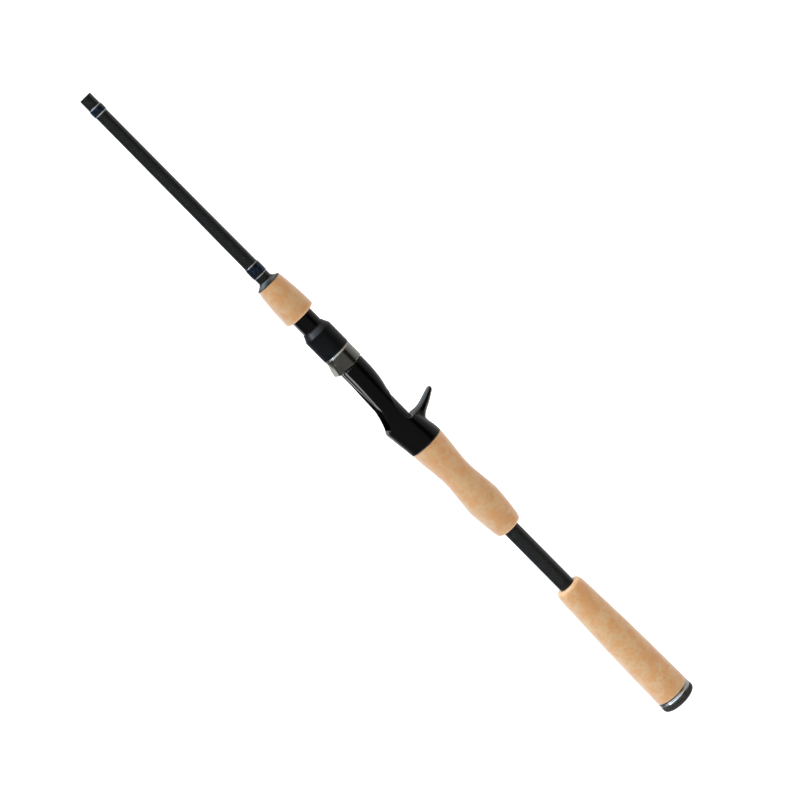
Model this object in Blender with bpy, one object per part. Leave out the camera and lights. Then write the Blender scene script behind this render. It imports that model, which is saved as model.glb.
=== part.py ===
"""Handle section of a multi-piece baitcasting rod, with an exposed-blank trigger reel seat.

The rod's axis lies along X and the tip end points to +X. The reel sits on the +Z side and the trigger
hangs on the -Z side. The origin is the middle of the reel seat's flat foot bed. Lengths are in metres.
"""

import math

import bmesh
import bpy
from mathutils import Vector

MM = 0.001
TURN = 2 * math.pi
SEGMENTS = 36

# Gaps between pieces
GLUE_GAP = 0.30 * MM  # glued or pressed faces
WRAP_GAP = 0.06 * MM  # thread wound on the blank
RUNNING_GAP = 0.18 * MM  # faces that turn or slide on each other

# Rod blank: a tapered carbon tube that runs from the ferrule mouth to the butt cap
BLANK_AHEAD_OF_GRIP = 165.1 * MM
BLANK_TIP_R = 4.38 * MM
BLANK_MIDDLE_R = 4.62 * MM
BLANK_CHECK_R = 4.96 * MM
BLANK_BUTT_R = 5.75 * MM
BLANK_MIDDLE_AHEAD = 64.3 * MM
BLANK_CHECK_AHEAD = 3.3 * MM
FERRULE_BORE_R = 3.40 * MM
FERRULE_DEPTH = 55.0 * MM
BLANK_WALL = 1.25 * MM

# Thread wraps under epoxy: a dark band between two bright trim bands
WRAP_RISE = 0.46 * MM
TRIM_RISE = 0.52 * MM
TRIM_WIDTH = 0.9 * MM
FERRULE_WRAP_FROM_TIP = 8.4 * MM
FERRULE_WRAP_LENGTH = 6.3 * MM
GRIP_WRAP_TO_CHECK = 4.2 * MM
GRIP_WRAP_LENGTH = 9.3 * MM

# Winding check: a conical collar in front of the foregrip
CHECK_LENGTH = 3.2 * MM
CHECK_STEP = 0.15 * MM
CHECK_RISE = 0.5 * MM

# Cork grips. Each outline is (share of the length from the tip side, millimetres of cork over the butt's radius)
CORK_RING_LENGTH = 13.0 * MM
FOREGRIP_LENGTH = 29.3 * MM
FOREGRIP_OUTLINE = [(0.0, 3.4), (0.04, 3.85), (0.25, 4.45), (0.55, 5.2), (0.85, 5.61), (1.0, 5.65)]
FOREGRIP_REAR_ROUND = 2.2 * MM
REAR_GRIP_LENGTH = 80.1 * MM
REAR_GRIP_OUTLINE = [(0.0, 6.97), (0.12, 6.35), (0.24, 5.25), (0.365, 4.55), (0.53, 5.65), (0.68, 6.7),
                     (0.82, 5.95), (0.96, 4.6), (1.0, 4.35)]
REAR_GRIP_ROUND = 3.0 * MM
EXPOSED_BLANK_LENGTH = 55.9 * MM
BUTT_GRIP_LENGTH = 103.1 * MM
BUTT_GRIP_OUTLINE = [(0.0, 4.25), (0.06, 4.75), (0.25, 5.5), (0.5, 6.45), (0.72, 6.87), (1.0, 7.32)]
BUTT_GRIP_ROUND = 3.0 * MM

# Butt end
TRIM_RING_LENGTH = 3.5 * MM
TRIM_RING_STEP = 0.12 * MM
BUTT_CAP_LENGTH = 4.9 * MM
BUTT_CAP_ROUND = 2.0 * MM
BUTT_CAP_SOCKET = 2.2 * MM
END_PLUG_LENGTH = 18.0 * MM

# Reel seat. Heights are above the rod's axis
BED_CENTRE_TO_SHOULDER = 22.2 * MM
BARREL_LENGTH = 45.4 * MM
BARREL_WALL = 1.6 * MM
BODY_LENGTH = 71.7 * MM
BED_FLOOR = 0.85 * MM
BED_WIDTH = 13.0 * MM
SHOULDER_CHAMFER = 0.8 * MM
# Body sections: (share of BODY_LENGTH behind the shoulder, half width beyond the bed's, top above the bed,
# bottom below the bore, squareness of the top), in millimetres
BODY_SECTIONS = [
    (0.000, 2.70, 0.80, 3.45, 4.5),
    (0.140, 2.60, 0.80, 3.30, 4.5),
    (0.250, 2.40, 0.80, 2.55, 4.5),
    (0.325, 2.30, 0.80, 1.55, 4.5),
    (0.400, 2.20, 0.80, 0.25, 4.5),
    (0.475, 2.30, 1.00, 0.15, 4.3),
    (0.545, 2.70, 2.20, 0.55, 3.9),
    (0.622, 3.30, 4.10, 1.55, 3.4),
    (0.665, 3.80, 6.30, 2.35, 3.2),
    (0.705, 4.30, 8.00, 3.15, 3.0),
    (0.780, 5.00, 7.50, 4.25, 2.6),
    (0.860, 5.70, 6.90, 5.35, 2.3),
    (0.930, 6.10, 6.30, 6.25, 2.1),
    (1.000, 6.25, 5.85, 6.70, 2.0),
]
BODY_LOFT_STEPS = 34

# Window under the body that leaves the blank bare: (share of BODY_LENGTH, height over the rod's axis as a share
# of the bore's radius)
WINDOW_RIM = [(0.380, -2.0), (0.405, -1.1), (0.440, -0.74), (0.482, -0.39), (0.530, -0.14), (0.575, -0.01),
              (0.620, 0.05), (0.661, 0.02), (0.690, -0.2), (0.704, -0.58), (0.707, -2.0)]
WINDOW_DEPTH = 16.0 * MM

# Fixed hood: its mouth opens towards the reel foot
MOUTH_SHARE = 0.672
POCKET_DEPTH = 9.3 * MM
POCKET_MOUTH_HEIGHT = 6.1 * MM
POCKET_END_HEIGHT = 5.5 * MM
HOOD_PAD_THICKNESS = 0.7 * MM

# Trigger: (share of BODY_LENGTH, depth below the bore, front-to-rear thickness, width), in millimetres
TRIGGER_SECTIONS = [
    (0.755, 0.75, 10.5, 12.0),
    (0.752, 3.45, 9.0, 10.0),
    (0.738, 6.45, 7.3, 8.2),
    (0.720, 9.95, 6.0, 7.2),
    (0.698, 13.95, 4.9, 6.6),
    (0.676, 17.95, 3.9, 6.0),
    (0.662, 20.95, 3.2, 5.2),
    (0.657, 22.05, 2.2, 3.8),
    (0.655, 22.55, 0.8, 1.6),
]
TRIGGER_POINTS = 16

# Movable hood and its locking nut, both drawn back to their rear stop
NUT_LENGTH = 21.6 * MM
NUT_WALL = 0.98 * MM
NUT_FRONT_LIP = 0.47 * MM
NUT_CHAMFER = 4.6 * MM
NUT_RECESS_DEPTH = 3.2 * MM
HOOD_LENGTH = 12.1 * MM
HOOD_WALL = 0.7 * MM
HOOD_TOWER_SIDE = 1.7 * MM
HOOD_TOWER_FRONT_RISE = 3.7 * MM
HOOD_TOWER_REAR_RISE = 4.6 * MM
HOOD_TOWER_ROUND = 2.0 * MM
HOOD_STOP_GAP = 0.5 * MM
LINER_ROOF = 0.5 * MM
LINER_POCKET_DEPTH = 9.0 * MM
COLLAR_LENGTH = 2.6 * MM
COLLAR_WALL = 0.67 * MM
SNAP_RING_LENGTH = 0.9 * MM
SNAP_RING_THICKNESS = 0.65 * MM
SNAP_RING_PLAY = 0.1 * MM

# Arbor that centres the blank in the seat's barrel
ARBOR_LENGTH = 30.0 * MM
ARBOR_INSET = 3.0 * MM

# Radii and heights that follow from the sizes above, from the blank outwards
SEAT_BORE_R = BLANK_BUTT_R + GLUE_GAP
BARREL_R = SEAT_BORE_R + BARREL_WALL
BED_HEIGHT = SEAT_BORE_R + BED_FLOOR
NUT_BORE_R = BARREL_R + RUNNING_GAP
COLLAR_R = NUT_BORE_R + COLLAR_WALL
NUT_RECESS_R = COLLAR_R + SNAP_RING_THICKNESS + 2 * SNAP_RING_PLAY
NUT_R = NUT_RECESS_R + NUT_WALL
HOOD_R = NUT_R
HOOD_TOWER_HALF_WIDTH = BED_WIDTH / 2 + HOOD_TOWER_SIDE
HOOD_TOWER_FRONT = BED_HEIGHT + HOOD_TOWER_FRONT_RISE
HOOD_TOWER_REAR = BED_HEIGHT + HOOD_TOWER_REAR_RISE
CHECK_REAR_R = BLANK_BUTT_R + FOREGRIP_OUTLINE[0][1] * MM - CHECK_STEP
BUTT_CAP_R = BLANK_BUTT_R + BUTT_GRIP_OUTLINE[-1][1] * MM
TRIM_RING_R = BUTT_CAP_R - TRIM_RING_STEP

# Stations along the rod, from the tip to the butt
AXIS_Z = -BED_HEIGHT
SHOULDER_X = BED_CENTRE_TO_SHOULDER
SEAT_FRONT_X = SHOULDER_X + BARREL_LENGTH
SEAT_REAR_X = SHOULDER_X - BODY_LENGTH
FOREGRIP_FRONT_X = SEAT_FRONT_X + FOREGRIP_LENGTH
TIP_X = FOREGRIP_FRONT_X + BLANK_AHEAD_OF_GRIP
SOCKET_X = TIP_X - FERRULE_DEPTH
REAR_GRIP_FRONT_X = SEAT_REAR_X - GLUE_GAP
BUTT_GRIP_FRONT_X = REAR_GRIP_FRONT_X - REAR_GRIP_LENGTH - EXPOSED_BLANK_LENGTH
BUTT_GRIP_REAR_X = BUTT_GRIP_FRONT_X - BUTT_GRIP_LENGTH
CAP_FRONT_X = BUTT_GRIP_REAR_X - TRIM_RING_LENGTH - GLUE_GAP
BUTT_X = CAP_FRONT_X - BUTT_CAP_SOCKET + GLUE_GAP
BLANK_RUNS = [
    (BUTT_X, BLANK_BUTT_R),
    (0.0, BLANK_BUTT_R),
    (FOREGRIP_FRONT_X + BLANK_CHECK_AHEAD, BLANK_CHECK_R),
    (FOREGRIP_FRONT_X + BLANK_MIDDLE_AHEAD, BLANK_MIDDLE_R),
    (TIP_X, BLANK_TIP_R),
]


def blank_radius(x):
    """Outer radius of the blank at x, tapering towards the tip in straight runs."""
    for (x0, r0), (x1, r1) in zip(BLANK_RUNS, BLANK_RUNS[1:]):
        if x <= x1:
            share = max((x - x0) / (x1 - x0), 0.0)
            return r0 + (r1 - r0) * share
    return BLANK_TIP_R


def bore_radius(x):
    """Radius of the blank's bore: tapered behind the ferrule socket, straight in it."""
    share = min((x - BUTT_X) / (SOCKET_X - BUTT_X), 1.0)
    return (BLANK_BUTT_R - BLANK_WALL) * (1 - share) + FERRULE_BORE_R * share


def smooth(points, x, column=1):
    """Value of a column at x on a smooth curve through rows that are sorted by their first value."""
    xs = [p[0] for p in points]
    ys = [p[column] for p in points]
    slopes = [(ys[i + 1] - ys[i]) / (xs[i + 1] - xs[i]) for i in range(len(xs) - 1)]
    tangents = [slopes[0]]
    for before, after in zip(slopes, slopes[1:]):
        level = before * after <= 0
        tangents.append(0.0 if level else 2 * before * after / (before + after))
    tangents.append(slopes[-1])
    i = max(k for k in range(len(slopes)) if xs[k] <= max(x, xs[0]))
    span = xs[i + 1] - xs[i]
    t = min((x - xs[i]) / span, 1.0)
    from_left = (1 + 2 * t) * (1 - t) ** 2 * ys[i] + t * (1 - t) ** 2 * span * tangents[i]
    from_right = t * t * (3 - 2 * t) * ys[i + 1] + t * t * (t - 1) * span * tangents[i + 1]
    return from_left + from_right


def make_material(name, colour, roughness, metallic=0.0):
    material = bpy.data.materials.new(name)
    material.use_nodes = True
    shader = material.node_tree.nodes["Principled BSDF"]
    shader.inputs["Base Color"].default_value = (*colour, 1.0)
    shader.inputs["Roughness"].default_value = roughness
    shader.inputs["Metallic"].default_value = metallic
    material.diffuse_color = (*colour, 1.0)
    return material


def new_object(name, mesh, location=(0, 0, 0), material=None, parent=None):
    thing = bpy.data.objects.new(name, mesh)
    bpy.context.scene.collection.objects.link(thing)
    thing.location = location
    thing.parent = parent
    if material:
        mesh.materials.append(material)
    return thing


def finished_mesh(name, shape):
    """Mesh from a bmesh with its doubles merged and its faces turned outwards."""
    bmesh.ops.remove_doubles(shape, verts=shape.verts, dist=1e-7)
    bmesh.ops.dissolve_degenerate(shape, edges=shape.edges, dist=1e-7)
    bmesh.ops.recalc_face_normals(shape, faces=shape.faces)
    mesh = bpy.data.meshes.new(name)
    shape.to_mesh(mesh)
    shape.free()
    mesh.shade_smooth()
    mesh.set_sharp_from_angle(angle=math.radians(35))
    return mesh


def turned(name, outline, material=None, parent=None, start_x=None):
    """Solid turned about the rod's axis from a closed outline of (x, radius). Its origin is on the axis."""
    start_x = outline[0][0] if start_x is None else start_x
    shape = bmesh.new()
    corners = [shape.verts.new((x - start_x, 0, radius)) for x, radius in outline]
    edges = [shape.edges.new((a, b)) for a, b in zip(corners, corners[1:] + corners[:1])]
    bmesh.ops.spin(shape, geom=corners + edges, cent=(0, 0, 0), axis=(1, 0, 0), dvec=(0, 0, 0),
                   angle=TURN, steps=SEGMENTS, use_merge=True)
    axis_z = 0.0 if parent else AXIS_Z
    parent_x = parent.location.x if parent else 0.0
    mesh = finished_mesh(name, shape)
    return new_object(name, mesh, (start_x - parent_x, 0, axis_z), material, parent)


def lofted(name, sections, material=None):
    """Solid skinned over closed sections of equal point counts, with flat ends."""
    shape = bmesh.new()
    rings = [[shape.verts.new(point) for point in section] for section in sections]
    for ring, after in zip(rings, rings[1:]):
        for i in range(len(ring)):
            j = (i + 1) % len(ring)
            shape.faces.new((ring[i], ring[j], after[j], after[i]))
    shape.faces.new(rings[0])
    shape.faces.new(rings[-1])
    return new_object(name, finished_mesh(name, shape), material=material)


def side_cut(name, outline, half_width):
    """Cutter with an outline of (x, z) in the side view, reaching half_width to both sides."""
    sections = [[(x, side * half_width, z) for x, z in outline] for side in (-1, 1)]
    return as_tool(lofted(name, sections))


def as_tool(thing):
    thing.hide_render = True
    thing.display_type = "WIRE"
    return thing


def combine(target, tool, operation):
    """Boolean of the tool on the target, left live on it."""
    modifier = target.modifiers.new(f"{operation.lower()}_{tool.name}", "BOOLEAN")
    modifier.operation = operation
    modifier.solver = "EXACT"
    modifier.object = tool


def grip_outline(front_x, length, shape, front_round, rear_round, ring, count):
    """Outer points (x, radius) of one cork ring of a grip, tip side first."""
    ends = (length * ring / count, length * (ring + 1) / count)
    inset = GLUE_GAP / 2
    start = ends[0] + (inset if ring else 0.0)
    stop = ends[1] - (inset if ring < count - 1 else 0.0)
    steps = 3
    points = []
    for k in range(steps + 1):
        along = start + (stop - start) * k / steps
        points.append((along, BLANK_BUTT_R + smooth(shape, along / length) * MM))
    if ring == 0 and front_round:
        points = rounded_end(points, 0, front_round)
    if ring == count - 1 and rear_round:
        points = rounded_end(points, -1, rear_round)
    return [(front_x - along, radius) for along, radius in points]


def rounded_end(points, end, size):
    """Replaces the outline's end point with a quarter circle of that size."""
    edge_x, edge_r = points[end]
    inward = 1 if end == 0 else -1
    arc = []
    for k in range(5):
        angle = math.pi / 2 * k / 4
        arc.append((edge_x + inward * size * (1 - math.sin(angle)), edge_r - size * (1 - math.cos(angle))))
    kept = [p for p in points if (p[0] - edge_x) * inward > size]
    return arc[::-1] + kept if end == 0 else kept + arc


def cork_grip(name, front_x, length, shape, front_round, rear_round, material):
    """Grip glued up from cork rings, each its own piece bored to the blank."""
    count = max(1, round(length / CORK_RING_LENGTH))
    for ring in range(count):
        outer = grip_outline(front_x, length, shape, front_round, rear_round, ring, count)
        bore = [(x, blank_radius(x) + GLUE_GAP) for x in (outer[-1][0], outer[0][0])]
        turned(f"{name}_cork_ring_{ring + 1}", outer + bore, material)


def thread_wrap(name, front_x, length, materials):
    """Dark thread band with a bright trim band at each end, wound straight on to the blank."""
    rear_x = front_x - length
    spans = {
        f"{name}_trim_front": (front_x, front_x - TRIM_WIDTH, TRIM_RISE, materials["trim_thread"]),
        f"{name}_band": (front_x - TRIM_WIDTH - WRAP_GAP, rear_x + TRIM_WIDTH + WRAP_GAP, WRAP_RISE,
                         materials["wrap_thread"]),
        f"{name}_trim_rear": (rear_x + TRIM_WIDTH, rear_x, TRIM_RISE, materials["trim_thread"]),
    }
    for piece, (x0, x1, rise, material) in spans.items():
        slope = min((x0 - x1) / 4, rise / 2)
        outline = [
            (x0, blank_radius(x0) + WRAP_GAP),
            (x0, blank_radius(x0) + rise - slope),
            (x0 - slope, blank_radius(x0) + rise),
            (x1 + slope, blank_radius(x1) + rise),
            (x1, blank_radius(x1) + rise - slope),
            (x1, blank_radius(x1) + WRAP_GAP),
        ]
        turned(piece, outline, material)


def make_blank(materials):
    """Hollow blank: a tapered tube, and ahead of it the straight-bored end that takes the next section."""
    end_x = SOCKET_X - GLUE_GAP
    outer = [(end_x, blank_radius(end_x))] + [run for run in reversed(BLANK_RUNS) if run[0] < end_x]
    turned("blank_tube", outer + [(BUTT_X, bore_radius(BUTT_X)), (end_x, bore_radius(end_x))], materials["carbon"])
    outer = [(TIP_X, BLANK_TIP_R), (SOCKET_X, blank_radius(SOCKET_X))]
    turned("blank_ferrule_end", outer + [(SOCKET_X, FERRULE_BORE_R), (TIP_X, FERRULE_BORE_R)], materials["carbon"])


def make_winding_check(materials):
    front_x = FOREGRIP_FRONT_X + CHECK_LENGTH
    rear_x = FOREGRIP_FRONT_X + GLUE_GAP
    inner = blank_radius(front_x) + GLUE_GAP
    outline = [
        (front_x, inner),
        (front_x, inner + CHECK_RISE),
        (front_x - CHECK_LENGTH * 0.3, inner + CHECK_RISE * 2),
        (rear_x + CHECK_LENGTH * 0.2, CHECK_REAR_R),
        (rear_x, CHECK_REAR_R),
        (rear_x, inner),
    ]
    turned("winding_check", outline, materials["check_metal"])


def seat_section(share, scale=1.0):
    """Closed section of the seat body at a share of its length behind the shoulder."""
    wider, above, below, squareness = (smooth(BODY_SECTIONS, share, c) for c in range(1, 5))
    half_width = BED_WIDTH / 2 + wider * MM
    top = BED_HEIGHT + above * MM
    bottom = SEAT_BORE_R + below * MM
    x = SHOULDER_X - share * BODY_LENGTH
    points = []
    for k in range(SEGMENTS):
        angle = TURN * k / SEGMENTS
        c, s = math.cos(angle), math.sin(angle)
        power = 2 / squareness if s > 0 else 1.0
        y = half_width * math.copysign(abs(c) ** power, c)
        z = (top if s > 0 else bottom) * math.copysign(abs(s) ** power, s)
        points.append((x, y * scale, AXIS_Z + z * scale))
    return points


def trigger_tool():
    """Trigger as a stack of ellipses from inside the body to the rounded tip."""
    sections = []
    for share, depth, thickness, width in TRIGGER_SECTIONS:
        centre_x = SHOULDER_X - share * BODY_LENGTH
        ring = []
        for k in range(TRIGGER_POINTS):
            angle = TURN * k / TRIGGER_POINTS
            x = centre_x + thickness / 2 * MM * math.cos(angle)
            ring.append((x, width / 2 * MM * math.sin(angle), AXIS_Z - SEAT_BORE_R - depth * MM))
        sections.append(ring)
    return as_tool(lofted("trigger_tool", sections))


def turned_tool(name, outline):
    return as_tool(turned(name, outline))


def box_tool(name, low, high):
    sections = [[(x, low[1], low[2]), (x, high[1], low[2]), (x, high[1], high[2]), (x, low[1], high[2])]
                for x in (low[0], high[0])]
    return as_tool(lofted(name, sections))


def make_seat_body(materials):
    """Moulded seat: threaded barrel, body with the reel-foot bed, fixed hood, window and trigger."""
    chamfer_share = SHOULDER_CHAMFER / BODY_LENGTH
    sections = [seat_section(0.0, 1 - SHOULDER_CHAMFER / (BARREL_R + SHOULDER_CHAMFER)),
                seat_section(chamfer_share)]
    sections += [seat_section(k / BODY_LOFT_STEPS) for k in range(1, BODY_LOFT_STEPS + 1)]
    body = lofted("reel_seat_body", sections, materials["seat_plastic"])

    overlap = 4 * MM
    barrel_front = SEAT_FRONT_X - GLUE_GAP
    barrel = turned_tool("barrel_tool", [(barrel_front, 0), (barrel_front, BARREL_R - 0.4 * MM),
                                         (barrel_front - 0.4 * MM, BARREL_R),
                                         (SHOULDER_X - overlap, BARREL_R), (SHOULDER_X - overlap, 0)])
    combine(body, barrel, "UNION")

    rim = [(SHOULDER_X - share * BODY_LENGTH, AXIS_Z + height * SEAT_BORE_R) for share, height in WINDOW_RIM]
    floor = [(rim[-1][0], AXIS_Z - WINDOW_DEPTH), (rim[0][0], AXIS_Z - WINDOW_DEPTH)]
    combine(body, side_cut("window_tool", rim + floor, 20 * MM), "DIFFERENCE")
    combine(body, trigger_tool(), "UNION")

    past = 5 * MM
    bore = turned_tool("seat_bore_tool", [(SEAT_FRONT_X + past, 0), (SEAT_FRONT_X + past, SEAT_BORE_R),
                                          (SEAT_REAR_X - past, SEAT_BORE_R), (SEAT_REAR_X - past, 0)])
    combine(body, bore, "DIFFERENCE")

    mouth_x = SHOULDER_X - MOUTH_SHARE * BODY_LENGTH
    half_bed = BED_WIDTH / 2
    channel = [(SEAT_FRONT_X + past, 0.0), (mouth_x + 1.2 * MM, 0.0), (mouth_x + 0.6 * MM, POCKET_MOUTH_HEIGHT),
               (mouth_x - 1.0 * MM, 20 * MM), (SEAT_FRONT_X + past, 20 * MM)]
    combine(body, side_cut("foot_channel_tool", channel, half_bed), "DIFFERENCE")
    pocket = [(mouth_x + past, 0.0), (mouth_x - POCKET_DEPTH, 0.0),
              (mouth_x - POCKET_DEPTH, POCKET_END_HEIGHT), (mouth_x + past, POCKET_MOUTH_HEIGHT)]
    combine(body, side_cut("foot_pocket_tool", pocket, half_bed), "DIFFERENCE")

    pad_top_mouth = POCKET_MOUTH_HEIGHT - GLUE_GAP
    pad_top_end = POCKET_END_HEIGHT - GLUE_GAP
    pad = [(mouth_x - 1.0 * MM, pad_top_mouth), (mouth_x - POCKET_DEPTH + GLUE_GAP, pad_top_end),
           (mouth_x - POCKET_DEPTH + GLUE_GAP, pad_top_end - HOOD_PAD_THICKNESS),
           (mouth_x - 1.0 * MM, pad_top_mouth - HOOD_PAD_THICKNESS)]
    slant = (POCKET_MOUTH_HEIGHT - POCKET_END_HEIGHT) * 0.2
    pad = [(x, z - slant) for x, z in pad]
    side = half_bed - GLUE_GAP
    lofted("fixed_hood_pad", [[(x, y, z) for x, z in pad] for y in (-side, side)], materials["cushion"])


def make_arbor(materials):
    """Sleeve that fills the step between the thinner blank and the seat's bore, inside the barrel."""
    front_x = SEAT_FRONT_X - ARBOR_INSET
    rear_x = front_x - ARBOR_LENGTH
    outer_r = SEAT_BORE_R - WRAP_GAP
    outline = [(front_x, outer_r), (rear_x, outer_r), (rear_x, blank_radius(rear_x) + WRAP_GAP),
               (front_x, blank_radius(front_x) + WRAP_GAP)]
    turned("seat_arbor", outline, materials["arbor"])


def hood_section(x, radius, half_width, top, corner, points_each=6):
    """Round below, with a square tower for the reel foot above. The points start low on the +Y side."""
    join_z = math.sqrt(radius ** 2 - half_width ** 2)
    join_angle = math.atan2(join_z, half_width)
    below = []
    steps = SEGMENTS - 2 * points_each
    for k in range(steps + 1):
        angle = math.pi - join_angle + (math.pi + 2 * join_angle) * k / steps
        below.append((x, radius * math.cos(angle), radius * math.sin(angle)))
    above = []
    for side, start in ((1, 0.0), (-1, math.pi / 2)):
        for k in range(points_each):
            angle = start + math.pi / 2 * k / (points_each - 1)
            y = side * (half_width - corner) + corner * math.cos(angle)
            above.append((x, y, top - corner + corner * math.sin(angle)))
    return below + above


def make_hood(materials, carriage):
    """Metal hood shell with its plastic liner. The rear mouth of the tower takes the reel foot."""
    rear_x = SHOULDER_X + HOOD_STOP_GAP
    front_x = rear_x + HOOD_LENGTH
    past = 1 * MM

    def shell_sections(inset, reach):
        slope = (HOOD_TOWER_REAR - HOOD_TOWER_FRONT) / HOOD_LENGTH
        rows = []
        for x in (front_x + reach, rear_x - reach):
            top = HOOD_TOWER_FRONT + (front_x - x) * slope
            rows.append(hood_section(x - carriage.location.x, HOOD_R - inset, HOOD_TOWER_HALF_WIDTH - inset,
                                     top - inset, max(HOOD_TOWER_ROUND - inset, 0.6 * MM)))
        return rows

    shell = lofted("movable_hood", shell_sections(0.0, 0.0), materials["hood_metal"])
    hollow = as_tool(lofted("hood_hollow_tool", shell_sections(HOOD_WALL, past)))
    combine(shell, hollow, "DIFFERENCE")

    liner = lofted("hood_liner", shell_sections(HOOD_WALL + WRAP_GAP, -WRAP_GAP), materials["liner_plastic"])
    collar_x = front_x - carriage.location.x
    collar = as_tool(turned("collar_tool", [(front_x + COLLAR_LENGTH, 0), (front_x + COLLAR_LENGTH, COLLAR_R),
                                            (front_x - past, COLLAR_R), (front_x - past, 0)], parent=carriage))
    combine(liner, collar, "UNION")
    bore_front = front_x + 2 * COLLAR_LENGTH
    bore = as_tool(turned("liner_bore_tool", [(bore_front, 0), (bore_front, NUT_BORE_R),
                                              (rear_x - past, NUT_BORE_R), (rear_x - past, 0)], parent=carriage))
    combine(liner, bore, "DIFFERENCE")
    pocket_front = collar_x - HOOD_LENGTH + LINER_POCKET_DEPTH
    pocket_rear = collar_x - HOOD_LENGTH - past
    roof = HOOD_TOWER_FRONT - HOOD_WALL - LINER_ROOF
    pocket = box_tool("liner_pocket_tool", (pocket_rear, -BED_WIDTH / 2, 0), (pocket_front, BED_WIDTH / 2, roof))
    bed_step = box_tool("liner_floor_tool", (pocket_rear - past, -HOOD_R, -HOOD_R),
                        (pocket_front + past, HOOD_R, BED_HEIGHT + GLUE_GAP))
    combine(pocket, bed_step, "DIFFERENCE")
    combine(liner, pocket, "DIFFERENCE")
    for thing in (shell, hollow, liner, pocket, bed_step):
        thing.parent = carriage


def make_nut(materials, carriage):
    """Locking nut that turns on the barrel and carries the hood, with the snap ring that joins the two."""
    rear_x = SHOULDER_X + HOOD_STOP_GAP + HOOD_LENGTH + RUNNING_GAP
    front_x = rear_x + NUT_LENGTH
    front_r = NUT_BORE_R + NUT_FRONT_LIP
    outline = [
        (front_x, NUT_BORE_R),
        (front_x, front_r),
        (front_x - NUT_CHAMFER * 0.35, front_r + (NUT_R - front_r) * 0.5),
        (front_x - NUT_CHAMFER * 0.8, NUT_R - 0.25 * MM),
        (front_x - NUT_CHAMFER * 1.15, NUT_R),
        (rear_x + 1.2 * MM, NUT_R),
        (rear_x + 0.4 * MM, NUT_R - 0.12 * MM),
        (rear_x, NUT_R - 0.4 * MM),
        (rear_x, NUT_RECESS_R),
        (rear_x + NUT_RECESS_DEPTH, NUT_RECESS_R),
        (rear_x + NUT_RECESS_DEPTH, NUT_BORE_R),
    ]
    turned("locking_nut", outline, materials["nut_plastic"], carriage)

    ring_inner = COLLAR_R + SNAP_RING_PLAY
    ring_outer = ring_inner + SNAP_RING_THICKNESS
    ring_front = rear_x + NUT_RECESS_DEPTH - GLUE_GAP - 0.5 * MM
    outline = [(ring_front, ring_inner), (ring_front, ring_outer), (ring_front - SNAP_RING_LENGTH, ring_outer),
               (ring_front - SNAP_RING_LENGTH, ring_inner)]
    turned("nut_snap_ring", outline, materials["spring_steel"], carriage)


def make_butt_end(materials):
    """Metal trim ring and rubber cap behind the butt grip, and the plug that closes the blank."""
    ring_x = BUTT_GRIP_REAR_X - GLUE_GAP
    ring_rear = BUTT_GRIP_REAR_X - TRIM_RING_LENGTH
    bevel = 0.5 * MM
    ring = [
        (ring_x, BLANK_BUTT_R + GLUE_GAP),
        (ring_x, TRIM_RING_R - bevel),
        (ring_x - bevel, TRIM_RING_R),
        (ring_rear + bevel, TRIM_RING_R),
        (ring_rear, TRIM_RING_R - bevel),
        (ring_rear, BLANK_BUTT_R + GLUE_GAP),
    ]
    turned("butt_trim_ring", ring, materials["ring_metal"])

    cap_rear = ring_rear - BUTT_CAP_LENGTH
    socket_r = BLANK_BUTT_R + GLUE_GAP
    socket_end = CAP_FRONT_X - BUTT_CAP_SOCKET
    cap = [(socket_end, 0), (socket_end, socket_r), (CAP_FRONT_X, socket_r), (CAP_FRONT_X, BUTT_CAP_R)]
    for k in range(5):
        angle = math.pi / 2 * k / 4
        cap.append((cap_rear + BUTT_CAP_ROUND * (1 - math.sin(angle)),
                    BUTT_CAP_R - BUTT_CAP_ROUND * (1 - math.cos(angle))))
    cap.append((cap_rear, 0))
    turned("butt_cap", cap, materials["rubber"])

    plug_front = BUTT_X + END_PLUG_LENGTH
    plug_r = bore_radius(plug_front) - GLUE_GAP
    plug = [(plug_front, 0), (plug_front, plug_r - 0.5 * MM), (plug_front - 1 * MM, plug_r), (BUTT_X, plug_r),
            (BUTT_X, 0)]
    turned("blank_end_plug", plug, materials["arbor"])


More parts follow.
